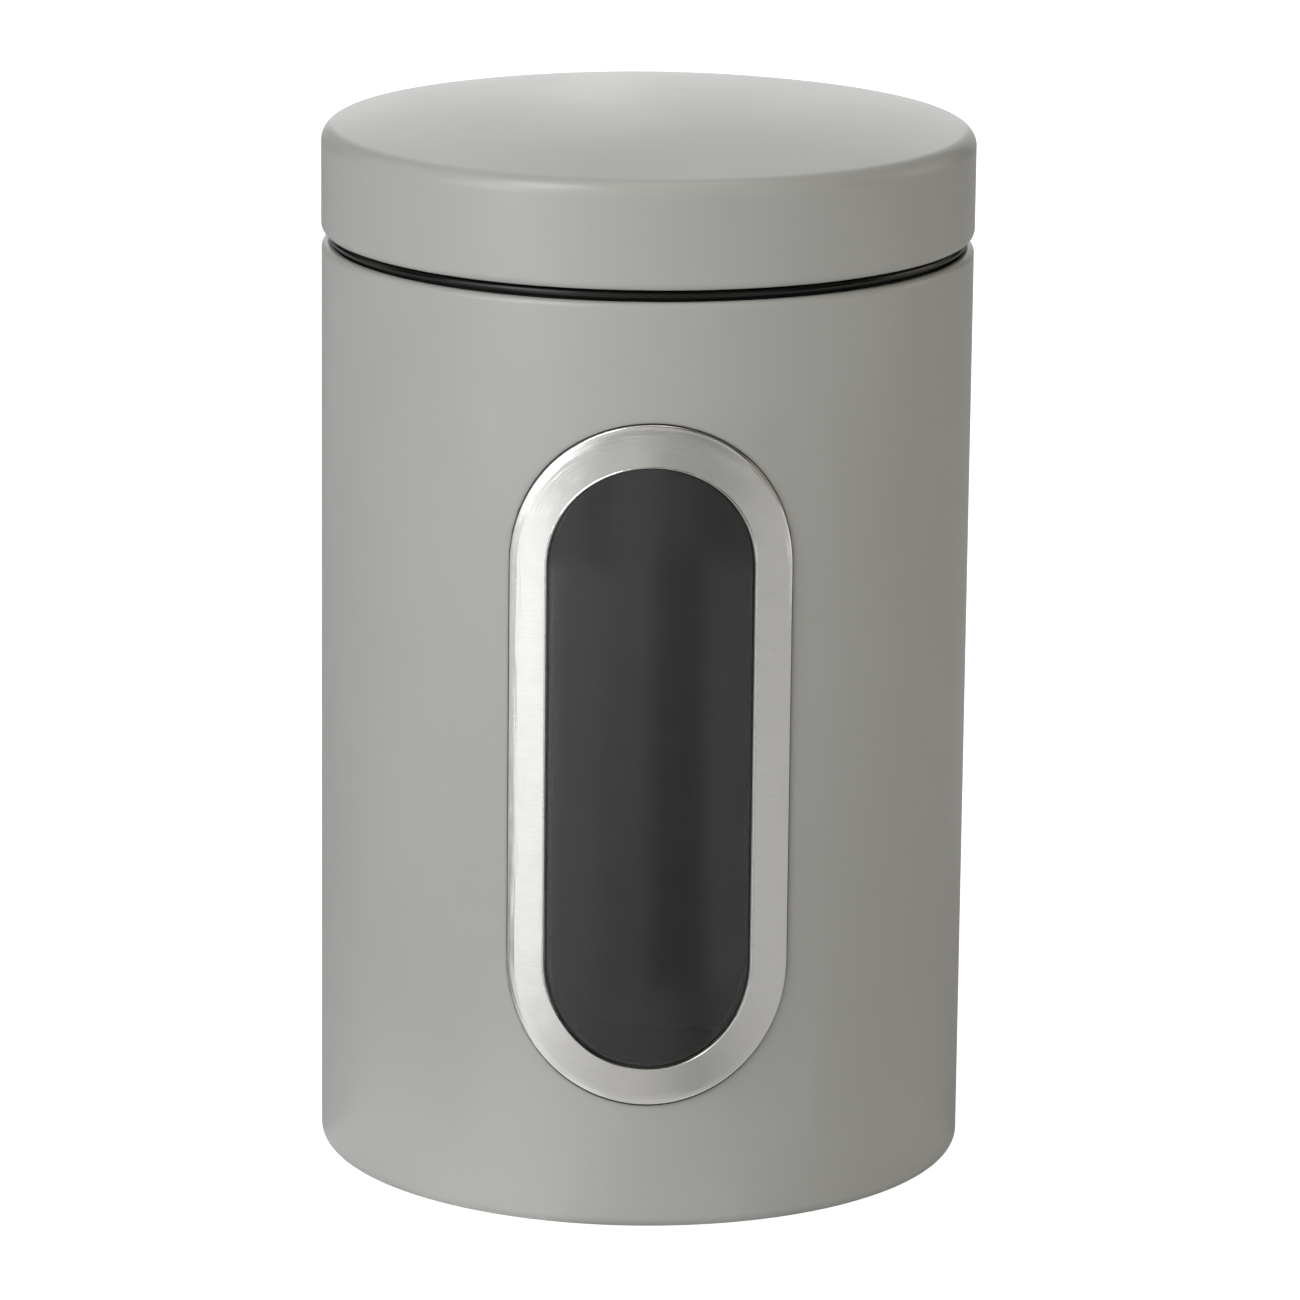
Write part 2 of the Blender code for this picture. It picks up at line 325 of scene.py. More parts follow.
def makeLacquer():
    finish = Finish("dark lacquer", {"IOR": lacquer["ior"], "Metallic": 0.0})
    peel = finish.grain(lacquer["peelSize"], detail=2)
    cloud = finish.band(finish.grain(lacquer["cloudSize"], detail=4), *lacquer["cloudRange"])
    return finish.show(
        Base_Color=finish.blend(cloud, *lacquer["tones"]),
        Roughness=finish.band(cloud, 0, 1, *lacquer["roughness"]),
        Normal=finish.bump(peel, lacquer["peelDepth"]))


# Brushed stainless: short streaks across the frame, polish lines that follow it, a slow wave,
# fine nicks, and a dull burred edge at the opening.
brushedSteel = {
    "tones": ((0.74, 0.73, 0.705), (0.70, 0.69, 0.665)), "toneRange": (0.3, 0.75),
    "roughness": 0.15, "roughnessStreak": 0.04, "streakRange": (0.25, 0.75),
    "streakSize": (2.6, 2.6, 0.14), "streakDepth": 0.006,
    "polishLength": 11.0, "polishWidth": 0.6, "polishBreadth": 30, "polishDepth": 0.05,
    "polishStart": 2.6, "polishEnd": 6.0, "polishInner": 0.15,    # it fades towards the opening
    "arcRadius": 22,                                              # of polish lines at the ends
    "waveSize": 7.0, "waveDepth": 0.16,
    "nickSize": (0.9, 0.9, 0.36), "nickRange": (0.68, 0.74), "nickDepth": 0.008,
    "burrSize": 0.5, "burrDepth": 0.22, "burrBand": (0.05, 0.35),
    "edgeRoughness": 0.55, "edgeBand": (0.02, 0.12),
}


def makeBrushedSteel():
    finish = Finish("brushed stainless", {"Metallic": 1.0})
    steel = brushedSteel
    across, along, up = finish.parts(finish.place())
    side = finish.sumOf("ARCTAN2", across, 0 - along) * wall["radius"]      # along the wall
    rise = up * (1 / mm) - wall["windowHeight"]
    straight = finish.sumOf("MINIMUM", rise, wall["endHeight"])
    beyond = rise - finish.sumOf("MAXIMUM", straight, -wall["endHeight"])
    fromMiddle = finish.sumOf("SQRT", side * side + beyond * beyond)
    outward = fromMiddle - wall["openingHalfWidth"]
    onStraight = rise - beyond
    bend = finish.sumOf("ARCTAN2", beyond, finish.sumOf("ABSOLUTE", side))
    follow = onStraight + bend * steel["arcRadius"]                         # round the frame
    streak = finish.grain(steel["streakSize"], detail=3, roughness=0.6)
    where = finish.add("CombineXYZ", {}, {
        0: outward * (1 / steel["polishWidth"]), 1: follow * (1 / steel["polishLength"]),
        2: side * (1 / steel["polishBreadth"])})
    polish = finish.add("TexNoise", {}, {"Scale": 1.0, "Detail": 2.0, "Vector": where})
    nick = finish.band(finish.grain(steel["nickSize"]), *steel["nickRange"])
    wave = finish.grain(steel["waveSize"], detail=1)
    burr = finish.grain(steel["burrSize"], detail=2)
    burr = burr * finish.band(outward, *steel["burrBand"], 1, 0)
    dull = finish.band(streak, *steel["toneRange"])
    polished = finish.band(
        outward, steel["polishStart"], steel["polishEnd"], steel["polishInner"], 1.0)
    height = steel["streakDepth"] * streak + steel["waveDepth"] * wave
    height = height - steel["nickDepth"] * nick
    height = height + steel["polishDepth"] * polish * polished + steel["burrDepth"] * burr
    gloss = (steel["roughness"], steel["roughness"] + steel["roughnessStreak"])
    brushed = finish.band(streak, *steel["streakRange"], *gloss)
    return finish.show(
        Base_Color=finish.blend(dull, *steel["tones"]),
        Roughness=brushed + finish.band(
            outward, *steel["edgeBand"], steel["edgeRoughness"] - steel["roughness"], 0),
        Normal=finish.bump(height))


# Glossy black moulding of the lid's plug.
blackPlastic = {
    "ior": 1.4, "tones": ((0.006, 0.006, 0.005), (0.009, 0.009, 0.008)),
    "roughness": (0.20, 0.28),
    "scuffSize": (2.2, 2.2, 0.5), "scuffRange": (0.48, 0.72),
    "flowSize": 9.0, "flowDepth": 0.012,
}


def makeBlackPlastic():
    plastic = blackPlastic
    finish = Finish("black plastic", {"IOR": plastic["ior"], "Metallic": 0.0})
    flow = finish.grain(plastic["flowSize"], detail=2)
    scuff = finish.grain(plastic["scuffSize"], detail=4, roughness=0.65)
    scuff = finish.band(scuff, *plastic["scuffRange"])
    return finish.show(
        Base_Color=finish.blend(scuff, *plastic["tones"]),
        Roughness=finish.band(scuff, 0, 1, *plastic["roughness"]),
        Normal=finish.bump(flow, plastic["flowDepth"]))


# Silicone of the seal and the window's gasket.
silicone = {
    "ior": 1.42, "tones": ((0.016, 0.016, 0.017), (0.028, 0.028, 0.028)), "roughness": (0.52, 0.66),
    "dustSize": 5, "dustRange": (0.42, 0.68),
    "grainSize": 0.3, "grainDepth": 0.010,
}


def makeSilicone():
    finish = Finish("black silicone", {"IOR": silicone["ior"], "Metallic": 0.0})
    grain = finish.grain(silicone["grainSize"], detail=2)
    dust = finish.band(finish.grain(silicone["dustSize"], detail=4), *silicone["dustRange"])
    return finish.show(
        Base_Color=finish.blend(dust, *silicone["tones"]),
        Roughness=finish.band(dust, 0, 1, *silicone["roughness"]),
        Normal=finish.bump(grain, silicone["grainDepth"]))


# Clear pane: polished, with the slight unevenness of moulded acrylic.
acrylic = {
    "ior": 1.49, "tones": ((0.93, 0.94, 0.93), (0.90, 0.915, 0.905)), "roughness": (0.02, 0.03),
    "smearSize": (9, 9, 22), "smearRange": (0.45, 0.75),
    "flowSize": (30, 30, 60), "flowDepth": 0.004,
}


def makeAcrylic():
    finish = Finish("clear acrylic", {
        "IOR": acrylic["ior"], "Metallic": 0.0, "Transmission Weight": 1.0})
    flow = finish.grain(acrylic["flowSize"], detail=1)
    smear = finish.band(finish.grain(acrylic["smearSize"], detail=4), *acrylic["smearRange"])
    return finish.show(
        Base_Color=finish.blend(smear, *acrylic["tones"]),
        Roughness=finish.band(smear, 0, 1, *acrylic["roughness"]),
        Normal=finish.bump(flow, acrylic["flowDepth"]))


coatFinish = makePowderCoat()
lacquerFinish = makeLacquer()
steelFinish = makeBrushedSteel()
plasticFinish = makeBlackPlastic()
siliconeFinish = makeSilicone()
acrylicFinish = makeAcrylic()
print("finishes made")


def dress(piece, body, node):
    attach(piece, body)
    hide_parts(node)
    print("made", piece.name)


# Wall: a grid of columns and rows, with a patch of loops round the window in place of the grid.
wallGrid = {
    "patchColumns": 20,                       # columns each side of the window's middle
    "patchLow": 18.0, "patchHigh": 158.0,     # heights where the patch ends
    "patchRows": 28, "edgeRows": 3,
    "loopOffsets": (0.9, 3.0, 5.0, 6.8, 7.4, 7.6, 7.66, 7.71, 7.77, 7.85, 7.93, 8.03, 8.15, 8.3,
                    8.5, 8.8, 9.4, 10.3),     # the first is the edge of the cut-out
}


# How deep the wall is pressed in at that distance outside the opening.
def recess(offset):
    if offset <= wall["grooveEnd"]:
        return wall["bedDepth"]
    return wall["lipDrop"] * math.exp((wall["lipStart"] - offset) / wall["lipReach"])


def spread(start, end, steps):
    return [start + (end - start) * i / steps for i in range(steps)]


# One skin of the wall. Gives its lowest ring, its highest ring and the loop at the cut-out.
def wallSkin(shape, radius, low, high, pressed, finish):
    grid = wallGrid
    heights = spread(low, grid["patchLow"], grid["edgeRows"])
    heights += spread(grid["patchLow"], grid["patchHigh"], grid["patchRows"])
    heights += spread(grid["patchHigh"], high, grid["edgeRows"]) + [high]
    first, last = grid["edgeRows"], grid["edgeRows"] + grid["patchRows"]
    reach = grid["patchColumns"]
    corner = {}
    for row, height in enumerate(heights):
        for column in range(roundSides):
            inside = min(column, roundSides - column) < reach and first < row < last
            if not inside:
                place = spot(turn * column / roundSides, radius, height)
                corner[row, column] = shape.ring([place])[0]

    def at(row, column):
        return corner[row, column % roundSides]

    for row in range(len(heights) - 1):
        for column in range(-reach, roundSides - reach):
            if not (column < reach and first <= row < last):
                shape.face((at(row, column), at(row, column + 1),
                            at(row + 1, column + 1), at(row + 1, column)), finish)
    border = [(first, column) for column in range(-reach, reach)]
    border += [(row, reach) for row in range(first, last)]
    border += [(last, column) for column in range(reach, -reach, -1)]
    border += [(row, -reach) for row in range(last, first, -1)]
    near = [at(row, column) for row, column in border]
    for offset in reversed(grid["loopOffsets"]):
        places = []
        for row, column in border:
            across = turn * column / roundSides * wall["radius"]
            up = heights[row] - wall["windowHeight"]
            middle = max(-wall["endHeight"], min(wall["endHeight"], up))
            length = math.hypot(across, up - middle)
            depth = recess(offset) if pressed else 0
            along = (across / length, (up - middle) / length)
            places.append(onOutline(middle, along, offset, radius - depth, wall["bedRise"]))
        loop = shape.ring(places)
        paintedShadeBed = pressed and offset <= wall["grooveEnd"]      # the bed and the groove round the frame get the dark lacquer, not the coat: painted shade in the groove
        shape.join(near, loop, 1 if paintedShadeBed else finish)
        near = loop
    lowest = [at(0, column) for column in range(roundSides)]
    highest = [at(len(heights) - 1, column) for column in range(roundSides)]
    return lowest, highest, near


def makeWall():
    w = wall
    outer, inner = w["radius"], w["radius"] - w["sheet"]
    footCentre = outer - w["footRounding"]
    flangeEdge = footCentre - w["footFlange"]
    rimCentre, rimHeight = outer - w["rimBend"], w["height"] - w["rimBend"]
    hemInner, hemEnd = rimCentre - w["rimBend"], rimHeight - w["hemDepth"]
    hemOuter = hemInner + w["sheet"]
    shape = Shape()
    outerLow, outerHigh, outerCut = wallSkin(shape, outer, w["footRounding"], rimHeight, True, 0)
    innerLow, innerHigh, innerCut = wallSkin(shape, inner, w["footRounding"], rimHeight, False, 1)
    shape.join(outerCut, innerCut, 0)
    foot = arc(footCentre, w["footRounding"], w["footRounding"], 0, -90, w["footSteps"])[1:]
    foot += softened([
        (footCentre, 0), (flangeEdge, 0, w["flangeSoftening"]),
        (flangeEdge, w["sheet"], w["flangeSoftening"]), (footCentre, w["sheet"]),
    ], closed=False)[1:-1]
    foot += arc(footCentre, w["footRounding"], w["footRounding"] - w["sheet"], -90, 0,
                w["insideSteps"])[:-1]
    rim = arc(rimCentre, rimHeight, w["rimBend"], 0, 180, w["rimSteps"])[1:]
    rim += softened([
        (hemInner, rimHeight), (hemInner, hemEnd, w["hemSoftening"]),
        (hemOuter, hemEnd, w["hemSoftening"]), (hemOuter, rimHeight),
    ], closed=False)[1:-1]
    rim += arc(rimCentre, rimHeight, w["rimBend"] - w["sheet"], 180, 0, w["insideSteps"])[:-1]
    for outline, near, end in ((foot, outerLow, innerLow), (rim, outerHigh, innerHigh)):
        for r, z in outline:
            ring = shape.ring([spot(turn * i / roundSides, r, z) for i in range(roundSides)])
            shape.join(near, ring)
            near = ring
        shape.join(near, end)
    return shape.build("canisterWall", coatFinish, lacquerFinish)


dress(makeWall(), "container", "body_shell")

# Pressed base, a shallow tray with a raised middle.
base = {
    "radius": 60.4, "sheet": 0.5, "floor": 3.1, "skirtEnd": 2.1, "bend": 0.8,
    "slopeStart": 46.4, "slopeEnd": 44.4, "panel": 3.9, "softening": 1.6, "skirtSoftening": 0.1,
}


def makeBase():
    b = base
    inner, under = b["radius"] - b["sheet"], b["floor"] - b["sheet"]
    outline = softened([
        (0, b["panel"]), (b["slopeEnd"], b["panel"], b["softening"]),
        (b["slopeStart"], b["floor"], b["softening"]), (b["radius"], b["floor"], b["bend"]),
        (b["radius"], b["skirtEnd"], b["skirtSoftening"]),
        (inner, b["skirtEnd"], b["skirtSoftening"]), (inner, under, b["bend"] - b["sheet"]),
        (b["slopeStart"], under, b["softening"]),
        (b["slopeEnd"], b["panel"] - b["sheet"], b["softening"]), (0, b["panel"] - b["sheet"]),
    ], closed=False)
    return turned(outline, closed=False).build("basePan", lacquerFinish)


dress(makeBase(), "container", "base_pan")

# Lid: a drawn cap with a slightly domed top and a curled lower edge.
lid = {
    "radius": 61.4, "sheet": 0.6, "bottom": 177.1, "sideHeight": 16.9,
    "edgeRounding": 3.3, "crownRadius": 308.0,
    "curl": 1.0, "curlHeight": 1.4, "hemDepth": 1.0, "hemSoftening": 0.15,
    "crownSteps": 28, "edgeSteps": 16, "curlSteps": 8, "insideSteps": 12,
}


def makeLid():
    cap = lid
    edgeCentre = cap["radius"] - cap["edgeRounding"]
    edgeHeight = cap["bottom"] + cap["sideHeight"]
    reach = cap["crownRadius"] - cap["edgeRounding"]
    crownCentre = edgeHeight - math.sqrt(reach ** 2 - edgeCentre ** 2)
    crownStart = 90 - math.degrees(math.asin(edgeCentre / reach))
    curlCentre, curlHeight = cap["radius"] - cap["curl"], cap["bottom"] + cap["curl"]
    bore, hemTop = cap["radius"] - 2 * cap["curl"], curlHeight + cap["hemDepth"]
    steps = cap["curlSteps"]
    outline = arc(0, crownCentre, cap["crownRadius"], 90, crownStart, cap["crownSteps"])
    outline += arc(edgeCentre, edgeHeight, cap["edgeRounding"], crownStart, 0, cap["edgeSteps"])[1:]
    outline += [(r, cap["bottom"] + cap["curlHeight"] * (1 + (z - curlHeight) / cap["curl"]))
                for r, z in arc(curlCentre, curlHeight, cap["curl"], 0, -90, steps)]
    outline += arc(curlCentre, curlHeight, cap["curl"], -90, -180, steps)[1:]
    outline += softened([
        (bore, curlHeight), (bore, hemTop, cap["hemSoftening"]),
        (bore + cap["sheet"], hemTop, cap["hemSoftening"]), (bore + cap["sheet"], curlHeight),
    ], closed=False)[1:-1]
    outline += arc(curlCentre, curlHeight, cap["curl"] - cap["sheet"], -180, 0, steps)
    outline += arc(edgeCentre, edgeHeight, cap["edgeRounding"] - cap["sheet"], 0, crownStart, steps)
    outline += arc(0, crownCentre, cap["crownRadius"] - cap["sheet"], crownStart, 90,
                   cap["insideSteps"])[1:]
    outline[0], outline[-1] = (0, outline[0][1]), (0, outline[-1][1])
    return turned(outline, closed=False).build("lidCap", coatFinish)


dress(makeLid(), "lid", "lid_shell")

# Plug moulding under the lid; its collar is the black band on the rim.
plug = {
    "floor": 165.4, "wall": 1.5, "radius": 56.9, "neck": 59.1, "hook": 60.5, "collar": 60.1,
    "collarBottom": 175.2, "collarTop": 176.8,
    "hookBottom": 179.4, "hookLand": 179.9, "hookTop": 181.0,
    "footTop": 163.8, "footRadius": 58.3, "bottom": 162.4,
    "recessEdge": 47.3, "recessSlope": 1.5, "recessFloor": 163.9,
    "floorRounding": 0.8, "wallRounding": 0.3, "hookRounding": 0.2, "collarRounding": 0.75,
    "footRounding": 0.6, "footSoftening": 0.15, "crispEdge": 0.1,
}


def makePlug():
    p = plug
    inner, neckInner = p["radius"] - p["wall"], p["neck"] - p["wall"]
    outline = softened([
        (0, p["floor"]), (inner, p["floor"], p["floorRounding"]),
        (inner, p["collarTop"], p["wallRounding"]), (neckInner, p["collarTop"], p["wallRounding"]),
        (neckInner, p["hookTop"], p["wallRounding"]), (p["neck"], p["hookTop"], p["wallRounding"]),
        (p["hook"], p["hookLand"], p["hookRounding"]), (p["hook"], p["hookBottom"], p["crispEdge"]),
        (p["neck"], p["hookBottom"], p["crispEdge"]), (p["neck"], p["collarTop"], p["crispEdge"]),
        (p["collar"], p["collarTop"], p["collarRounding"]),
        (p["collar"], p["collarBottom"], p["collarRounding"]),
        (p["radius"], p["collarBottom"], p["crispEdge"]),
        (p["radius"], p["footTop"], p["crispEdge"]),
        (p["footRadius"], p["footTop"], p["footSoftening"]),
        (p["footRadius"], p["bottom"], p["footRounding"]),
        (p["recessEdge"], p["bottom"], p["floorRounding"]),
        (p["recessEdge"] - p["recessSlope"], p["recessFloor"], p["floorRounding"]),
        (0, p["recessFloor"]),
    ], closed=False)
    return turned(outline, closed=False).build("lidPlug", plasticFinish)


dress(makePlug(), "lid", "lid_insert")

# Seal round the plug, with two lips that point up a little.
seal = {
    "inner": 57.2, "outer": 58.0, "tip": 58.6, "bottom": 164.1, "top": 174.9,
    "lipDrop": 2.4, "lipPitch": 2.6, "lipCount": 2, "lipRoot": 1.2, "lipEdge": 0.4, "lipRise": 0.3,
    "softening": 0.15, "tipSoftening": 0.12,
}


def makeSeal():
    s = seal
    soft, tipSoft = s["softening"], s["tipSoftening"]
    corners = [
        (s["inner"], s["bottom"], soft), (s["inner"], s["top"], soft), (s["outer"], s["top"], soft)]
    for i in range(s["lipCount"]):
        middle = s["top"] - s["lipDrop"] - i * s["lipPitch"]
        tip = middle + s["lipRise"]
        corners += [
            (s["outer"], middle + s["lipRoot"] / 2, soft),
            (s["tip"], tip + s["lipEdge"] / 2, tipSoft),
            (s["tip"], tip - s["lipEdge"] / 2, tipSoft),
            (s["outer"], middle - s["lipRoot"] / 2, soft),
        ]
    corners.append((s["outer"], s["bottom"], soft))
    return turned(softened(corners)).build("lidSeal", siliconeFinish)


dress(makeSeal(), "lid", "lid_seal")

# The window pieces are sections of (offset outward from the opening, distance from the axis).

# Brushed frame: a flat face that rolls off towards its outer edge, and a collar in the cut-out.
bezel = {
    "face": 62.2, "sheet": 0.6, "width": 7.2, "edge": 60.98,
    "rollStart": 5.2, "rollRadius": 15.0, "rollSlope": 5.0, "rollSteps": 10,
    "outerRounding": 0.36, "innerRounding": 0.2, "softening": 0.1,
    "collarEnd": 61.0, "collarWall": 0.6,
}


def makeFrame():
    b = bezel
    soft, back = b["softening"], b["face"] - b["sheet"]
    roll = arc(b["rollStart"], b["face"] - b["rollRadius"], b["rollRadius"],
               90 - b["rollSlope"], 90, b["rollSteps"])
    rollEnd, rollHeight = roll[0]
    corner = rollHeight - (b["width"] - rollEnd) * math.tan(math.radians(b["rollSlope"]))
    lip = b["width"] - b["sheet"]
    outline = softened([
        (0, b["collarEnd"], soft), (b["collarWall"], b["collarEnd"], soft), (b["collarWall"], back),
        (b["rollStart"], back), (lip, corner - b["sheet"], soft), (lip, b["edge"], soft),
        (b["width"], b["edge"], soft), (b["width"], corner, b["outerRounding"]), *roll,
        (b["rollStart"] / 2, b["face"]), (0, b["face"], b["innerRounding"]),
    ])
    return windowRing(outline).build("windowFrame", steelFinish)


gasket = {"inner": 1.2, "outer": 4.6, "back": 59.6, "front": 60.4, "softening": 0.15}


def makeGasket():
    g = gasket
    corners = [(offset, radius, g["softening"]) for offset, radius in (
        (g["inner"], g["back"]), (g["outer"], g["back"]),
        (g["outer"], g["front"]), (g["inner"], g["front"]))]
    return windowRing(softened(corners)).build("windowGasket", siliconeFinish)


# Clear pane: a face that fills the frame's collar, hollow behind, on a flange inside the wall.
pane = {
    "face": 61.55, "inside": 60.9, "flange": 59.3, "back": 57.9,
    "edge": 4.6, "step": -0.04, "hollow": -0.34,
    "faceRim": 0.3, "insideRim": 0.4,                   # flat margin before the rounding
    "faceRounding": 0.08, "backRounding": 0.15, "edgeRounding": 0.12, "stepRounding": 0.1,
}


def makePane():
    p = pane
    corners = [
        (p["hollow"] - p["insideRim"], p["inside"]), (p["hollow"], p["inside"], p["faceRounding"]),
        (p["hollow"], p["back"], p["backRounding"]), (p["edge"], p["back"], p["edgeRounding"]),
        (p["edge"], p["flange"], p["edgeRounding"]), (p["step"], p["flange"], p["stepRounding"]),
        (p["step"], p["face"], p["faceRounding"]), (p["step"] - p["faceRim"], p["face"]),
    ]
    return windowPlate(softened(corners, closed=False)).build("windowPane", acrylicFinish)


# Ring inside the wall that presses the pane on its gasket.
clamp = {
    "inner": 1.5, "step": 4.9, "edge": 8.9, "back": 57.0, "front": 60.4, "sheet": 0.6,
    "bend": 0.5, "innerBend": 0.3, "softening": 0.1,
}


def makeClamp():
    c = clamp
    soft, outerStep = c["softening"], c["step"] + c["sheet"]
    corners = [
        (c["inner"], c["back"], soft), (outerStep, c["back"], c["bend"]),
        (outerStep, c["front"] - c["sheet"], c["innerBend"]),
        (c["edge"], c["front"] - c["sheet"], soft),
        (c["edge"], c["front"], soft), (c["step"], c["front"], c["bend"]),
        (c["step"], c["back"] + c["sheet"], soft), (c["inner"], c["back"] + c["sheet"], soft),
    ]
    return windowRing(softened(corners)).build("windowClamp", lacquerFinish)


dress(makeFrame(), "container", "window_bezel")
dress(makeGasket(), "container", "window_gasket")
dress(makePane(), "container", "window_pane")
dress(makeClamp(), "container", "window_retainer")

# The pale floor that the camera sees: a sheet that sweeps up far behind on every side.
paleFloor = {
    "flat": 4000, "bend": 2000, "height": 7000, "bendSteps": 12,     # millimetres
    "tone": (0.30, 0.30, 0.30), "cloudSize": 90, "cloudTone": 0.97, "glow": 1.0, "roughness": 0.9,
}


def makeSweep():
    f = paleFloor
    outline = [(0, 0), (f["flat"], 0)]
    outline += arc(f["flat"], f["bend"], f["bend"], -90, 0, f["bendSteps"])[1:]
    outline.append((f["flat"] + f["bend"], f["height"]))
    finish = Finish("pale sweep", {
        "Roughness": f["roughness"], "Specular IOR Level": 0.0,
        "Emission Color": (1, 1, 1, 1), "Emission Strength": f["glow"]})
    cloud = finish.grain(f["cloudSize"], detail=2)
    darker = [f["cloudTone"] * value for value in f["tone"]]
    material = finish.show(Base_Color=finish.blend(cloud, f["tone"], darker))
    sweep = turned(outline, closed=False).build("floor", material)
    sweep.visible_diffuse = sweep.visible_glossy = False
    sweep.visible_transmission = sweep.visible_shadow = False


# The table under it, which only the canister sees. Parts of it glow as painted light and parts are
# painted darker as painted shade, in zones by distance in metres and sectors by degrees from the
# front, where left is negative.
paleTable = {
    "half": 3.0, "drop": 0.001, "tone": (0.60, 0.60, 0.60), "roughness": 0.9,
    "zoneSoftness": 0.012, "sectorSoftness": 3,
    "glowZones": [
        (0.060, 0.12, [(-90, -45, 0.41), (-45, -15, 0.60), (-15, 20, 0.25), (20, 90, 0.14)]),
        (0.12, 0.22, [(-45, -30, 0.52), (-30, -22, 0.31), (-22, -15, 0.23), (-15, 0, 0.15),
                      (0, 10, 0.08), (10, 20, 0.0), (20, 35, 0.06), (35, 60, 0.094),
                      (60, 90, 0.03)]),
        (0.22, 0.60, [(-90, -60, 0.195), (-60, -45, 0.13), (-45, -30, 0.68), (-30, -15, 0.255),
                      (-15, 0, 0.12), (0, 20, 0.0), (20, 35, 0.10), (35, 60, 0.117),
                      (60, 90, 0.04)]),
        (0.60, 1.60, [(-90, -45, 0.0), (-45, -34, 0.42), (-34, -15, 0.06), (-15, 3, 0.08),
                      (3, 36, 0.0), (36, 60, 0.055), (60, 90, 0.86)]),
        (0.44, 0.62, [(-45, -38, 0.25)]),
        (0.59, 0.68, [(-38, -20, 0.12)]),
        (0.95, 2.20, [(-57, -21, 1.1)]),
        (0.60, 3.00, [(-150, -90, 0.18)]),
    ],
    "shadeZones": [
        (0.12, 0.22, [(8, 27, 0.12)]),
        (0.22, 0.62, [(3, 18, 0.25)]),
        (0.62, 1.10, [(3, 17, 0.06), (17, 31, 0.17)]),
        (0.60, 0.92, [(-35, -21, 0.10), (-21, -12, 0.15)]),
        (0.10, 0.34, [(-68, -47, 0.45)]),
    ],
}


# Sum of levels over zones of distance and sectors of direction.
def zoned(finish, direction, distance, zones):
    soft, edge = paleTable["zoneSoftness"], paleTable["sectorSoftness"]
    total = 0
    for near, far, sectors in zones:
        first, last = sectors[0][0] - edge, sectors[-1][1] + edge
        stops = [(0.5 + first / 360, 0)]
        for start, end, level in sectors:
            stops += [(0.5 + (start + edge) / 360, level), (0.5 + (end - edge) / 360, level)]
        stops.append((0.5 + last / 360, 0))
        ramp = finish.add("ValToRGB", {"stops": stops}, {0: direction})
        beyondNear = finish.band(distance, near - soft, near + soft)
        beforeFar = finish.band(distance, far - soft, far + soft, 1, 0)
        total = total + ramp * (beyondNear * beforeFar)
    return total


def makeTable():
    half, level = paleTable["half"], -paleTable["drop"]
    finish = Finish("pale table", {
        "Roughness": paleTable["roughness"], "Specular IOR Level": 0.0, "Emission Strength": 1.0})
    across, along, up = finish.parts(finish.place())
    direction = finish.sumOf("ARCTAN2", across, 0 - along) * (1 / turn) + 0.5
    distance = finish.sumOf("SQRT", across * across + along * along)
    shade = zoned(finish, direction, distance, paleTable["shadeZones"])
    mesh = bpy.data.meshes.new("table")
    corners = [
        (-half, -half, level), (half, -half, level), (half, half, level), (-half, half, level)]
    mesh.from_pydata(corners, [], [(0, 1, 2, 3)])
    mesh.materials.append(finish.show(
        Base_Color=finish.blend(shade, paleTable["tone"], (0, 0, 0)),
        Emission_Color=zoned(finish, direction, distance, paleTable["glowZones"])))
    table = bpy.data.objects.new("table", mesh)
    bpy.context.scene.collection.objects.link(table)
    table.visible_camera = False


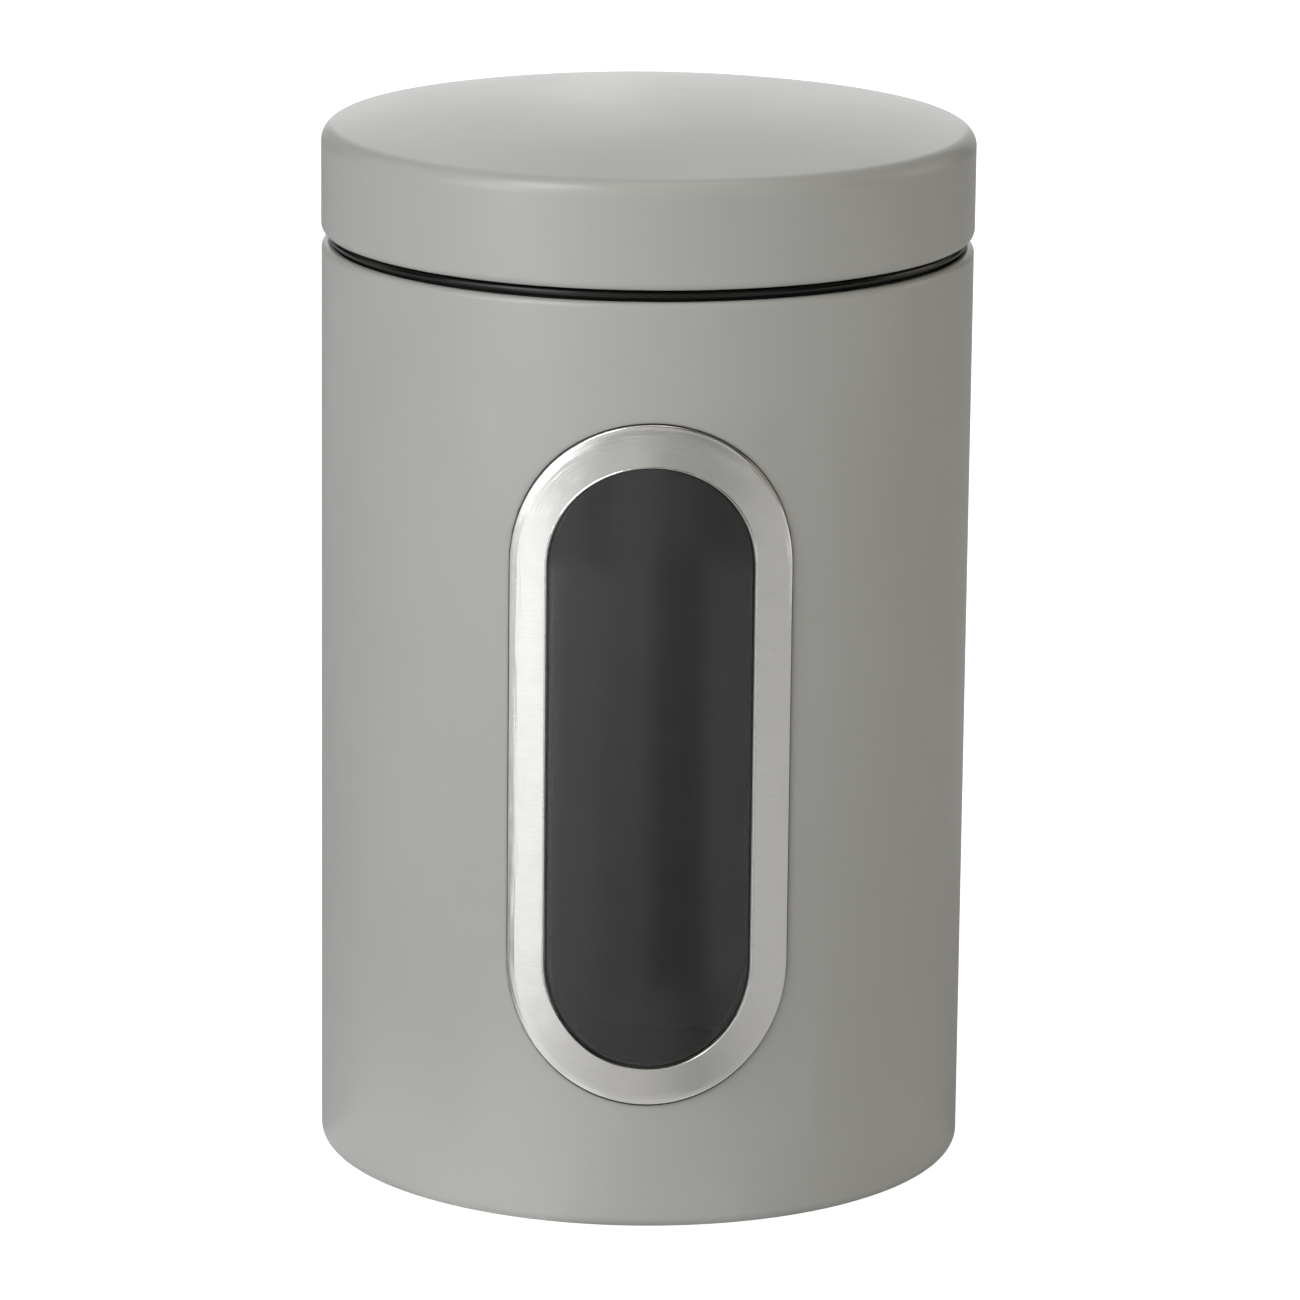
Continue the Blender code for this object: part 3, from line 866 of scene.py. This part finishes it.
# Rings of softboxes stand round the object; a level says how bright a box looks.
softboxRings = {
    "aimHeight": 0.10, "distance": 1.3,       # metres
    "unmirrored": (52.5,),      # azimuth of a box that shows in no reflection
    "tints": {"cool": (0.95, 1.0, 1.07), "plain": (1.0, 1.0, 1.0), "warm": (1.08, 1.0, 0.72)},
    # name, elevation, width and height of each ring, then each box's azimuth, level and tint
    "rings": [
        ("low", 13, 0.35, 0.70, [
            (-172.5, 1.32, "plain"), (-157.5, 0.42, "plain"), (-112.5, 0.45, "warm"),
            (-67.5, 1.85, "cool"), (-52.5, 3.28, "cool"), (-37.5, 2.15, "cool"),
            (-22.5, 0.76, "plain"), (-7.5, 0.62, "plain"), (7.5, 0.53, "plain"),
            (22.5, 0.42, "plain"), (37.5, 0.64, "plain"), (52.5, 3.72, "plain"),
            (97.5, 0.85, "warm"), (112.5, 0.95, "warm"), (127.5, 0.29, "plain"),
            (157.5, 0.69, "plain"), (172.5, 1.30, "plain")]),
        ("middle", 45, 0.52, 0.70, [
            (-165, 1.15, "cool"), (-45, 5.35, "plain"), (-15, 0.40, "warm"), (165, 1.25, "cool")]),
        ("high", 70, 0.60, 0.50, [(30, 0.90, "warm")]),
        ("top", 88, 0.70, 0.70, [(0, 1.35, "plain")]),
    ],
}


def makeLight(name, azimuth, elevation, width, height, level, tint):
    light = bpy.data.lights.new(name, "AREA")
    light.shape = "RECTANGLE"
    light.size, light.size_y = width, height
    light.energy = level * math.pi * width * height
    light.color = softboxRings["tints"][tint]
    lamp = bpy.data.objects.new(name, light)
    lamp.visible_camera = False
    lamp.visible_glossy = azimuth not in softboxRings["unmirrored"]
    lamp.matrix_world = (
        Matrix.Translation((0, 0, softboxRings["aimHeight"]))
        @ Matrix.Rotation(math.radians(azimuth), 4, "Z")
        @ Matrix.Rotation(math.radians(90) - math.radians(elevation), 4, "X")
        @ Matrix.Translation((0, 0, softboxRings["distance"])))
    bpy.context.scene.collection.objects.link(lamp)


makeSweep()
makeTable()
for row, elevation, width, height, boxes in softboxRings["rings"]:
    for azimuth, level, tint in boxes:
        makeLight(f"{row} {azimuth}", azimuth, elevation, width, height, level, tint)
print("studio made")

# Camera, fitted to the outlines in the photograph: metres, degrees, millimetres of lens and film.
view = {
    "place": (-0.02918, -1.3481, 0.42855),
    "heading": -1.292, "pitch": 13.872, "roll": 0.616,
    "lens": 201.72, "film": 36.0, "clipStart": 0.05, "clipEnd": 50,
}


def makeCamera():
    camera = bpy.data.cameras.new("photo view")
    camera.lens = view["lens"]
    camera.sensor_width = view["film"]
    camera.clip_start, camera.clip_end = view["clipStart"], view["clipEnd"]
    eye = bpy.data.objects.new("photo view", camera)
    eye.matrix_world = (
        Matrix.Translation(view["place"])
        @ Matrix.Rotation(math.radians(view["heading"]), 4, "Z")
        @ Matrix.Rotation(math.radians(90 - view["pitch"]), 4, "X")
        @ Matrix.Rotation(math.radians(view["roll"]), 4, "Z"))
    bpy.context.scene.collection.objects.link(eye)
    bpy.context.scene.camera = eye


makeCamera()
bpy.context.scene.view_settings.view_transform = "Standard"
print("camera set")
